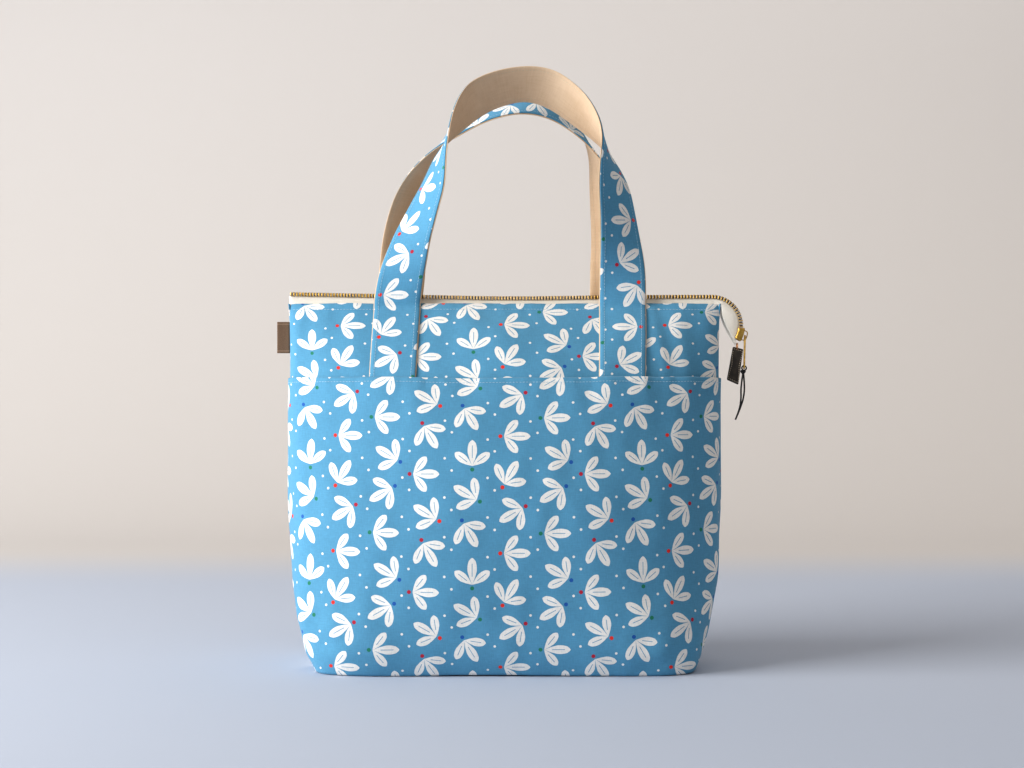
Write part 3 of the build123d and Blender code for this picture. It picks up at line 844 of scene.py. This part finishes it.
def strap_grid(stations, legs, sign, seed, side_grid):
    """Middle surface of a strap from hem to hem, its normals and its cloth places."""
    inner, outer = [], []

    def sewn_rows(heights, foot_in, foot_out, top_in, top_out):
        for height in heights:
            t = (height - SEWN_LOW) / (SEWN_HIGH - SEWN_LOW)
            for edge, foot, top in ((inner, foot_in, top_in), (outer, foot_out, top_out)):
                x = (foot + (top - foot) * t) * MM
                y = front_y(x, height * MM) - 1.3 * MM
                edge.append((x, y if sign < 0 else -y, height * MM))

    (left_foot_out, left_foot_in, left_top_out, left_top_in), right = legs
    sewn_rows(SEWN, left_foot_in, left_foot_out, left_top_in, left_top_out)
    for edge_in, edge_out in stations:
        inner.append(tuple(edge_in))
        outer.append(tuple(edge_out))
    sewn_rows(SEWN[::-1], *right)
    both = np.hstack([(np.array(inner) + np.array(outer)) / 2, np.array(inner), np.array(outer)])
    line = spline(both, 300)
    middle = line[:, :3]
    across = unit(line[:, 3:6] - line[:, 6:9])
    along = unit(np.gradient(middle, axis=0))
    facing = unit(np.cross(along, across))
    if facing[5][1] * sign < 0:
        facing = -facing
    shares = np.linspace(-0.5, 0.5, STRAP_COLUMNS)
    grid = middle[:, None, :] + across[:, None, :] * (shares * STRAP)[None, :, None]
    # The sewn ends lie on the panel
    free = ease(middle[:, 2], 0.292, 0.306)
    sewn = free < 1
    ground = lie_on(side_grid, grid[sewn, :, 0], np.minimum(grid[sewn, :, 2], 0.2995)) + sign * 1.35 * MM
    share = free[sewn, None]
    grid[sewn, :, 1] = grid[sewn, :, 1] * share + ground * (1 - share)
    run = run_along(middle)
    places = np.stack(np.broadcast_arrays(shares[None, :] * STRAP, run[:, None]), axis=2)
    cup = (np.abs(shares) * 2) ** 2 * 0.5 * MM
    wobble = ripple(seed, 8, 0.03, 0.09)(places[..., 0], places[..., 1]) * 0.28 * MM
    grid = grid + facing[:, None, :] * ((wobble - cup[None, :]) * free[:, None])[..., None]
    normal = grid_normals(grid, facing[:, None, :])
    return grid, normal, places


# x of the sewn ends' edges in mm, at the hem and at the top: left out, in, out, in, then right in, out, in, out
FRONT_LEGS = ((-110.0, -73.0, -107.5, -71.0), (76.5, 113.5, 80.0, 117.0))
BACK_LEGS = ((-109.0, -72.0, -107.5, -71.0), (72.5, 109.5, 73.5, 110.0))


def handle(name, stations, legs, sign, seed, drift, side_grid):
    """One strap with its linen and its stitches. It bends where it leaves the bag's top edge."""
    grid, normal, places = strap_grid(stations, legs, sign, seed, side_grid)
    ends = [name + "_strap_end_" + side for side in ("left", "right")]
    face = shell(name + "_strap_face", grid + normal * 0.8 * MM, normal, 0.74 * MM, places + drift,
                 PRINTED)
    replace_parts(face, name + "_handle_face", *[end_name + "_face" for end_name in ends])
    middle = grid[:, STRAP_COLUMNS // 2:STRAP_COLUMNS // 2 + 1]
    wide = middle + (grid - middle) * LINEN_WIDER
    backing = shell(name + "_strap_linen", wide - normal * 0.8 * MM, -normal, 0.74 * MM, places,
                    LINEN)
    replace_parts(backing, name + "_handle_backing", *[end_name + "_backing" for end_name in ends])
    top, under = [], []
    for share in (EDGE_SHARE, 1 - EDGE_SHARE):
        at = share * (grid.shape[1] - 1)
        low, part = int(at), at - int(at)
        line = grid[:, low] * (1 - part) + grid[:, low + 1] * part
        ups = unit(normal[:, low] * (1 - part) + normal[:, low + 1] * part)
        top += stitch_run(line + ups * 0.8 * MM, ups, *SEAM_STITCH)
        under += stitch_run(line - ups * 0.8 * MM, -ups, *LINEN_STITCH)
    stitches = joined(name + "_strap_stitches", top, THREAD)
    back_stitches = joined(name + "_linen_stitches", under, BEIGE_THREAD)
    for piece in (face, backing, stitches, back_stitches):
        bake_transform(piece)


handle("front", FRONT_HANDLE, FRONT_LEGS, -1, 5, (0.012, 0.004), front_grid)
handle("back", BACK_HANDLE, BACK_LEGS, 1, 6, (0.051, 0.033), back_grid)

# ---------------------------------------------------------------- zip
CHAIN_X, CHAIN_Z = 0.1745, 0.283
CHAIN_RADIUS = 0.0242
RIDGE_Z = CHAIN_Z + CHAIN_RADIUS
RIDGE_START = -0.1805
TAIL_END = -34.0  # degrees round the corner arc


def ridge_sag(x):
    """The chain stands a little higher at its ends than in the middle of the mouth."""
    ends = 0.0022 * np.clip((-x - 0.02) / 0.16, 0, 1) ** 1.5
    return (ends - 0.0012 * np.exp(-((x - 0.01) / 0.07) ** 2)) * (x < CHAIN_X)


def chain_point(angle, radius):
    """x and z on the corner arc of the chain."""
    turn = math.radians(angle)
    return CHAIN_X + radius * math.cos(turn), CHAIN_Z + radius * math.sin(turn)


def zip_tape(name, sign):
    """Half of the zip's tape: inside the top edge, up to the chain, and on round the corner as the tail."""
    ridge = [(x, None) for x in np.linspace(RIDGE_START, CHAIN_X, 130)]
    bend = [(None, angle) for angle in np.linspace(88, TAIL_END - 3, 40)]
    extra = 0.0014 if sign > 0 else 0.0
    free_edge = spline([(0.1745, 0.2975), (0.1785, 0.2992), (0.1817 - extra * 0.3, 0.2978),
                        (0.1828 - extra, 0.2915), (0.1855 - extra, 0.2838), (0.1896 - extra, 0.2758),
                        (0.1946 - extra * 0.6, 0.2668)], 41)[1:]
    rows = 11
    grid = np.zeros((rows, len(ridge) + len(bend), 3))
    for i in range(rows):
        t = i / (rows - 1)
        for j, (x, angle) in enumerate(ridge + bend):
            if angle is None:
                top = np.array((x, -0.00085, RIDGE_Z - 0.0016 + ridge_sag(x)))
                inside = 0.0052 * math.sqrt(max(1 - (x / 0.1795) ** 2, 0)) + 0.0009
                foot = np.array((x, -inside, 0.2975))
            else:
                cx, cz = chain_point(angle, CHAIN_RADIUS - 0.0016)
                top = np.array((cx, -0.00085, cz))
                ex, ez = free_edge[j - len(ridge)]
                foot = np.array((ex, -0.0011, ez))
            point = top * (1 - t) + foot * t
            if angle is None:
                point[1] = top[1] + (foot[1] - top[1]) * t**1.25
            else:
                round_corner = math.sin(math.pi * min((90 - angle) / 120, 1))
                point[1] -= 0.0009 * math.sin(math.pi * t) * round_corner
            grid[i, j] = point
    run = run_along(grid[0])
    depth = np.linalg.norm(grid - grid[0][None], axis=2)
    places = np.stack([np.broadcast_to(run, depth.shape), depth], axis=2)
    if sign > 0:
        grid[..., 1] *= -1
    grid[..., 1] += ripple(90 + sign, 8, 0.02, 0.06)(places[..., 0], places[..., 1]) * 0.0001
    normal = grid_normals(grid, np.array((0.0, float(sign), 0.0)))
    piece = shell(name, grid, normal, 0.55 * MM, places, TAPE)
    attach(piece, "bag")
    return piece


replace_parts(zip_tape("zip_tape_front_cloth", -1), "zip_tape_front")
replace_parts(zip_tape("zip_tape_back_cloth", 1), "zip_tape_back")

TOOTH_PITCH = 0.0026


def tooth(x, z, angle, sign):
    """One brass tooth: a block with worn edges that straddles the tape and reaches across the middle."""
    turn = math.radians(angle)
    along = np.array((-math.sin(turn), 0, math.cos(turn)))
    out = np.array((math.cos(turn), 0, math.sin(turn)))
    centre = np.array((x, 0, z))
    outline = [(-1, -0.72), (-0.72, -1), (0.72, -1), (1, -0.72), (1, 0.72), (0.72, 1), (-0.72, 1), (-1, 0.72)]
    points = []
    stations = [(-2.35, 0.62, 0.70), (-2.15, 0.95, 0.95), (-1.2, 1.0, 1.0), (-0.2, 0.9, 0.9), (0.35, 0.78, 0.72),
                (0.6, 0.5, 0.5)]
    for y, wide, tall in stations:
        for a, b in outline:
            flat = along * a * 0.52 * MM * wide + out * b * 1.75 * MM * tall
            points.append(centre + flat + np.array((0, -sign * y * MM, 0)))
    faces = skin_faces(len(stations), len(outline))
    return points, faces if sign < 0 else [face[::-1] for face in faces]


def teeth(name, node, sign, shift):
    """One row of the chain: along the ridge, then round the corner arc."""
    chunks = []
    count = int((CHAIN_X - RIDGE_START) / TOOTH_PITCH)
    start = CHAIN_X - count * TOOTH_PITCH
    for i in range(count):
        x = start + (i + shift) * TOOTH_PITCH
        chunks.append(tooth(x, RIDGE_Z + ridge_sag(x), 90, sign))
    step = math.degrees(TOOTH_PITCH / CHAIN_RADIUS)
    for i in range(int((90 + 27) / step)):
        angle = 90 - step * (i + shift)
        x, z = chain_point(angle, CHAIN_RADIUS)
        chunks.append(tooth(x, z, angle, sign))
    piece = joined(name, chunks, TEETH)
    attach(piece, "bag")
    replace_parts(piece, node)


teeth("zip_teeth_front_row", "zip_teeth_front", -1, 0.0)
teeth("zip_teeth_back_row", "zip_teeth_back", 1, 0.5)


# ---------------------------------------------------------------- slider and bail
def slider():
    """Channel round the chain, wider at its shoulders, with a bridge for the pull."""
    loops = []
    for angle, wide, plate in ((-29.4, 0.84, 0.6), (-28.4, 0.92, 0.9), (-24, 0.97, 1.0), (-17, 1.0, 1.0),
                               (-11, 1.06, 1.0), (-6.5, 1.12, 0.95), (-5.0, 1.08, 0.85), (-4.5, 0.98, 0.6)):
        half = 4.2 * wide
        top = 26.3 + 0.8 * plate
        # Radius and half width in mm, from the middle of the upper plate, round the channel and back
        profile = [(26.3, 0.0), (26.3, half - 1.2), (25.9, half - 0.9), (22.4, half - 0.9), (22.1, half - 1.2),
                   (22.1, 1.5), (21.3, 1.5), (21.3, half - 0.7), (21.8, half), (26.1, half),
                   (top - 0.25, half - 0.5), (top, half - 1.3), (top + 0.05, 0.0)]
        mirrored = [(r, -y) for r, y in profile[-2:0:-1]]
        ring = []
        for r, y in profile + mirrored:
            x, z = chain_point(angle, r * MM)
            ring.append((x, y * MM, z))
        loops.append(ring)
    body = rings("zip_slider_shell", loops, BRASS)
    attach(body, "zip_slider")
    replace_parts(body, "slider_body")
    # Bail: a rounded strip arched from end to end
    loops = []
    path = [(26.9, -25.6), (28.2, -25.2), (29.9, -23.6), (30.35, -20.5), (30.4, -17.0), (30.35, -13.5),
            (29.9, -10.6), (28.2, -9.0), (26.9, -8.6)]
    points = np.array([chain_point(a, r * MM) for r, a in path])
    line = spline(np.stack([points[:, 0], np.zeros(len(path)), points[:, 1]], axis=1), 26)
    along = unit(np.gradient(line, axis=0))
    for p, d in zip(line, along):
        out = np.cross(d, (0, 1, 0))
        ring = []
        for k in range(12):
            turn = 2 * math.pi * k / 12
            ring.append(p + np.array((0, 1, 0)) * math.cos(turn) * 0.95 * MM + out * math.sin(turn) * 0.42 * MM)
        loops.append(ring)
    bail = rings("zip_slider_bail", loops, BRASS)
    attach(bail, "zip_slider")
    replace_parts(bail, "slider_bail")


slider()


# ---------------------------------------------------------------- pull: strip, loop, knot and tails
PIVOT = np.array((0.2019, 0.0, 0.2746))
PULL_END = np.array((0.2012, 0.0, 0.2465))
pull_down = unit(PULL_END - PIVOT)
pull_out = np.array((-pull_down[2], 0.0, pull_down[0]))
PULL_LENGTH = float(np.linalg.norm(PULL_END - PIVOT))


def pull_strip():
    """Built as two rails and three bridges that run into each other, so the eye and the hole are open."""
    down, out, side = pull_down, pull_out, np.array((0.0, 1.0, 0.0))
    stations = 60
    chunks = []

    def half_width(run):
        ends = min(run + 0.6 * MM, PULL_LENGTH - run)
        rounding = max(0.0, 1.2 * MM - max(ends, 0.0))
        return 2.7 * MM - rounding**2 / (1.9 * MM) * 1.6

    def gap_half(run):
        eye = 1.5 * MM if 0.6 * MM <= run <= 5.8 * MM else 0.0
        hole = PULL_LENGTH - 2.8 * MM
        reach = 1.25 * MM
        inside = max(reach**2 - (run - hole) ** 2, 0.0)
        return max(eye, math.sqrt(inside))

    for direction in (1, -1):
        loops = []
        for run in np.linspace(-0.6 * MM, PULL_LENGTH - 0.02 * MM, stations):
            far, near = half_width(run), gap_half(run)
            ring = []
            crown = near + (far - near) * 0.25
            for y, lift in ((near, -0.5), (near, 0.5), (crown, 0.56), (far - 0.25 * MM, 0.5),
                            (far, 0.25), (far, -0.25), (far - 0.25 * MM, -0.5), (crown, -0.56)):
                ring.append(PIVOT + down * run + side * y * direction + out * lift * MM)
            loops.append(ring if direction > 0 else ring[::-1])
        chunks.append((np.array(loops).reshape(-1, 3), skin_faces(stations, 8)))
    piece = joined("pull_strip_brass", chunks, BRASS)
    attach(piece, "zip_pull")
    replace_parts(piece, "pull_strip")


pull_strip()

cord_hole = PIVOT + pull_down * (PULL_LENGTH - 2.8 * MM)
knot_centre = np.array((cord_hole[0] - 0.9 * MM, 0.0, cord_hole[2] - 5.2 * MM))


def tube(name, line, radius, sides, material, closed=False):
    """A round skin along a line of points."""
    line = np.asarray(line, float)
    if closed:
        along = unit(np.roll(line, -1, axis=0) - np.roll(line, 1, axis=0))
    else:
        along = unit(np.gradient(line, axis=0))
    side = np.cross(along[0], (0.31, 0.87, 0.38))
    loops = []
    for p, d in zip(line, along):
        side = unit(side - d * np.dot(side, d))
        other = np.cross(d, side)
        turns = [2 * math.pi * k / sides for k in range(sides)]
        loops.append([p + (side * math.cos(turn) + other * math.sin(turn)) * radius for turn in turns])
    if closed:
        # Take up the twist left after one turn
        last = np.array(loops[-1]) - line[-1]
        gap = [np.sum((np.roll(last, s, axis=0) - (np.array(loops[0]) - line[0])) ** 2) for s in range(sides)]
        shift = int(np.argmin(gap))
        turned = []
        for i, ring in enumerate(loops):
            turn = 2 * math.pi * shift / sides * i / len(loops)
            d = along[i]
            ring = np.array(ring) - line[i]
            c, s = math.cos(turn), math.sin(turn)
            ring = ring * c + np.cross(d, ring) * s
            turned.append(ring + line[i])
        loops = turned
    return rings(name, loops, material, closed)


def pull_cord():
    """The waxed cord: a loop through the strip's hole, a knot and two hanging tails."""
    turns = np.linspace(0, 2 * math.pi, 40, endpoint=False)
    loop_line = [(cord_hole[0] + 1.9 * MM * math.sin(t), 0.15 * MM * math.sin(2 * t),
                  cord_hole[2] - 1.9 * MM + 1.9 * MM * math.cos(t)) for t in turns]
    loop = tube("pull_cord_loop_cord", loop_line, 0.58 * MM, 10, CORD, closed=True)
    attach(loop, "zip_pull")
    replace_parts(loop, "pull_cord_loop")
    # Knot: a trefoil drawn tight
    turns = np.linspace(0, 2 * math.pi, 96, endpoint=False)
    knot_line = [(knot_centre[0] + 0.56 * MM * (math.sin(t) + 2 * math.sin(2 * t)),
                  0.80 * MM * -math.sin(3 * t) * 1.25,
                  knot_centre[2] + 0.60 * MM * (math.cos(t) - 2 * math.cos(2 * t))) for t in turns]
    knot = tube("pull_cord_knot", knot_line, 0.74 * MM, 10, CORD, closed=True)
    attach(knot, "zip_pull")
    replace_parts(knot, "pull_knot")
    foot = knot_centre[2] - 2.0 * MM
    routes = {
        "a": [(0.2010, 0.0009, foot), (0.2019, 0.0011, 0.2325), (0.2012, 0.0013, 0.2230), (0.1985, 0.0010, 0.2145),
              (0.1958, 0.0008, 0.2080)],
        "b": [(0.2000, -0.0009, foot), (0.1983, -0.0011, 0.2315), (0.1986, -0.0012, 0.2210), (0.1970, -0.0010, 0.2115),
              (0.1938, -0.0008, 0.2040)],
    }
    for key, route in routes.items():
        data = bpy.data.curves.new("pull_cord_tail_" + key + "_cord", "CURVE")
        data.dimensions = "3D"
        data.bevel_depth = 0.7 * MM
        data.bevel_resolution = 3
        data.use_fill_caps = True
        line = data.splines.new("NURBS")
        line.points.add(len(route) - 1)
        for point, place in zip(line.points, route):
            point.co = (*place, 1.0)
        line.order_u = 3
        line.use_endpoint_u = True
        line.resolution_u = 12
        data.materials.append(CORD)
        tail = bpy.data.objects.new("pull_tail_" + key, data)
        bpy.context.scene.collection.objects.link(tail)
        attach(tail, "zip_pull")
        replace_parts(tail, "pull_cord_tail_" + key)


pull_cord()


# ---------------------------------------------------------------- leather tab and ring
RING_X, RING_Z, RING_RADIUS = 0.1953, 0.2654, 0.0028
TAB_CORNERS = [(0.1919, 0.2653), (0.2004, 0.2632), (0.1962, 0.2334), (0.1868, 0.2376)]


def rounded_outline(corners, radius, steps=7):
    """Corners of a flat shape rounded off, as one closed line."""
    corners = [np.array(c) for c in corners]
    line = []
    for i, corner in enumerate(corners):
        before, after = corners[i - 1], corners[(i + 1) % len(corners)]
        start = corner + unit(before - corner) * radius
        end = corner + unit(after - corner) * radius
        for t in np.linspace(0, 1, steps):
            line.append((1 - t) ** 2 * start + 2 * t * (1 - t) * corner + t**2 * end)
        reach = np.linalg.norm(after - corner) - 2 * radius
        for t in np.linspace(0, 1, 8)[1:-1]:
            line.append(end + unit(after - corner) * reach * t)
    return np.array(line)


def leather_layer(name, node, sign):
    """One layer of the tab, with its edge burnished round. Gives its outline and the outline's centre."""
    outline = rounded_outline(TAB_CORNERS, 1.1 * MM)
    centre = outline.mean(axis=0)
    loops = []
    for inset, y in ((0.55, 0.02), (0.12, 0.03), (0.0, 0.35), (0.0, 1.05), (0.10, 1.35), (0.35, 1.5), (1.2, 1.52),
                     (2.2, 1.50)):
        ring = []
        for p in outline:
            q = p + unit(centre - p) * inset * MM
            ring.append((q[0], sign * y * MM, q[1]))
        loops.append(ring)
    piece = rings(name, loops, LEATHER)
    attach(piece, "leather_tab")
    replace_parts(piece, node)
    return outline, centre


outline, tab_centre = leather_layer("leather_tab_front_layer", "leather_tab_front", -1)
leather_layer("leather_tab_back_layer", "leather_tab_back", 1)


def tab_details():
    """Stitches round both faces of the tab, and its ring."""
    chunks = []
    for sign in (-1, 1):
        line = []
        for p in np.vstack([outline, outline[:1]]):
            q = p + unit(tab_centre - p) * 1.6 * MM
            line.append((q[0], sign * 1.5 * MM, q[1]))
        ups = np.tile((0.0, float(sign), 0.0), (len(line), 1))
        chunks += stitch_run(line, ups, *TAB_STITCH)
    stitches = joined("leather_tab_stitches", chunks, BEIGE_THREAD)
    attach(stitches, "leather_tab")
    turns = np.linspace(0, 2 * math.pi, 44, endpoint=False)
    ring_line = [(RING_X, RING_RADIUS * math.sin(t), RING_Z + RING_RADIUS * math.cos(t)) for t in turns]
    ring = tube("tab_ring_wire", ring_line, 0.55 * MM, 12, COPPER, closed=True)
    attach(ring, "leather_tab")
    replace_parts(ring, "tab_ring")


tab_details()


# ---------------------------------------------------------------- side label
def side_label():
    """Blank label folded in two, its ends caught in the left seam."""
    low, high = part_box("side_label_front")
    root, tip = high[0] + 1.6 * MM, low[0] + 0.4 * MM
    bottom, top = low[2], high[2]
    section = []
    for t in np.linspace(0, 1, 8):
        section.append((root + (tip - root) * t, -0.55 + 0.1 * math.sin(math.pi * t)))
    for turn in np.linspace(-70, 70, 7):
        section.append((tip - 0.5 * MM * math.cos(math.radians(turn)), 0.55 * math.sin(math.radians(turn))))
    for t in np.linspace(1, 0, 8):
        section.append((root + (tip - root) * t, 0.55 - 0.1 * math.sin(math.pi * t)))
    section = np.array(section)
    rows = 24
    grid, places = np.zeros((rows, len(section), 3)), np.zeros((rows, len(section), 2))
    run = np.concatenate([[0], np.cumsum(np.abs(np.diff(section[:, 0])))])
    for i in range(rows):
        t = i / (rows - 1)
        z = bottom + (top - bottom) * t
        sway = 0.5 * MM * math.sin(2.6 * t + 0.5)
        for k, (x, y) in enumerate(section):
            out = (root - x) / (root - tip)
            grid[i, k] = (x, y * MM + sway * out, z)
            places[i, k] = (run[k], (top - bottom) * t)
    outwards = np.stack([np.full(len(section), -0.2), np.sign(section[:, 1]), np.zeros(len(section))], axis=1)
    normal = grid_normals(grid, outwards[None])
    piece = shell("side_label_fold", grid, normal, 0.3 * MM, places, LABEL)
    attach(piece, "bag")
    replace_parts(piece, "side_label_front", "side_label_back")


side_label()

# ---------------------------------------------------------------- hidden CAD pieces keep their shape
for node_name, material in (("base_board", BOARD), ("front_lining", LINING), ("back_lining", LINING)):
    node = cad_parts[node_name]
    node.data.materials.clear()
    node.data.materials.append(material)


# ---------------------------------------------------------------- stage and light
def stage():
    """Pale floor that sweeps up into a pale wall."""
    profile = [(-12.0, 0.0), (-3.0, 0.0), (-1.0, 0.0), (0.0, 0.0), (0.7, 0.0)]
    for turn in np.linspace(0, 90, 14):
        profile.append((1.0 + 0.9 * math.sin(math.radians(turn)), 0.9 - 0.9 * math.cos(math.radians(turn))))
    profile.append((1.9, 9.0))
    xs = np.linspace(-14, 14, 5)
    vertices = [(x, y, z) for y, z in profile for x in xs]
    faces = []
    for i in range(len(profile) - 1):
        for k in range(4):
            a = i * 5 + k
            faces.append((a, a + 1, a + 6, a + 5))
    mesh = bpy.data.meshes.new("floor")
    mesh.from_pydata(vertices, [], faces)
    mesh.polygons.foreach_set("use_smooth", [True] * len(faces))
    material, tree, shader = new_material("floor_paper")
    split = tree.nodes.new("ShaderNodeSeparateXYZ")
    tree.links.new(object_place(tree), split.inputs[0])
    wall = Sum(tree, split.outputs[1]).above(0.72, 0.22)
    colour = mix_colour(tree, wall, (0.50, 0.55, 0.65), (0.645, 0.617, 0.598))
    tree.links.new(colour, shader.inputs["Base Color"])
    shader.inputs["Roughness"].default_value = 0.9
    mesh.materials.append(material)
    floor = bpy.data.objects.new("floor", mesh)
    bpy.context.scene.collection.objects.link(floor)


def area_light(name, place, target, size, power, colour):
    """A soft rectangular light at place, turned to target."""
    data = bpy.data.lights.new(name, "AREA")
    data.shape = "RECTANGLE"
    data.size, data.size_y = size
    data.energy = power
    data.color = colour
    light = bpy.data.objects.new(name, data)
    light.location = place
    light.rotation_euler = (Vector(target) - Vector(place)).to_track_quat("-Z", "Y").to_euler()
    bpy.context.scene.collection.objects.link(light)


stage()
area_light("window", (-2.15, -0.85, 0.95), (0.0, 0.0, 0.2), (1.5, 1.5), 84.0, (1.0, 0.99, 0.975))
area_light("wall_wash", (0.9, 0.6, 1.9), (0.9, 1.9, 0.7), (1.2, 1.2), 7.0, (1.0, 0.97, 0.94))
area_light("room_fill", (1.9, -0.9, 0.8), (0.25, 0.0, 0.05), (1.4, 1.0), 3.0, (1.0, 0.84, 0.66))
world = bpy.data.worlds.new("room")
world.use_nodes = True
world.node_tree.nodes["Background"].inputs[0].default_value = (1.0, 0.95, 0.90, 1.0)
world.node_tree.nodes["Background"].inputs[1].default_value = 0.34
bpy.context.scene.world = world
bpy.context.scene.view_settings.view_transform = "Standard"
bpy.context.scene.view_settings.look = "Medium High Contrast"
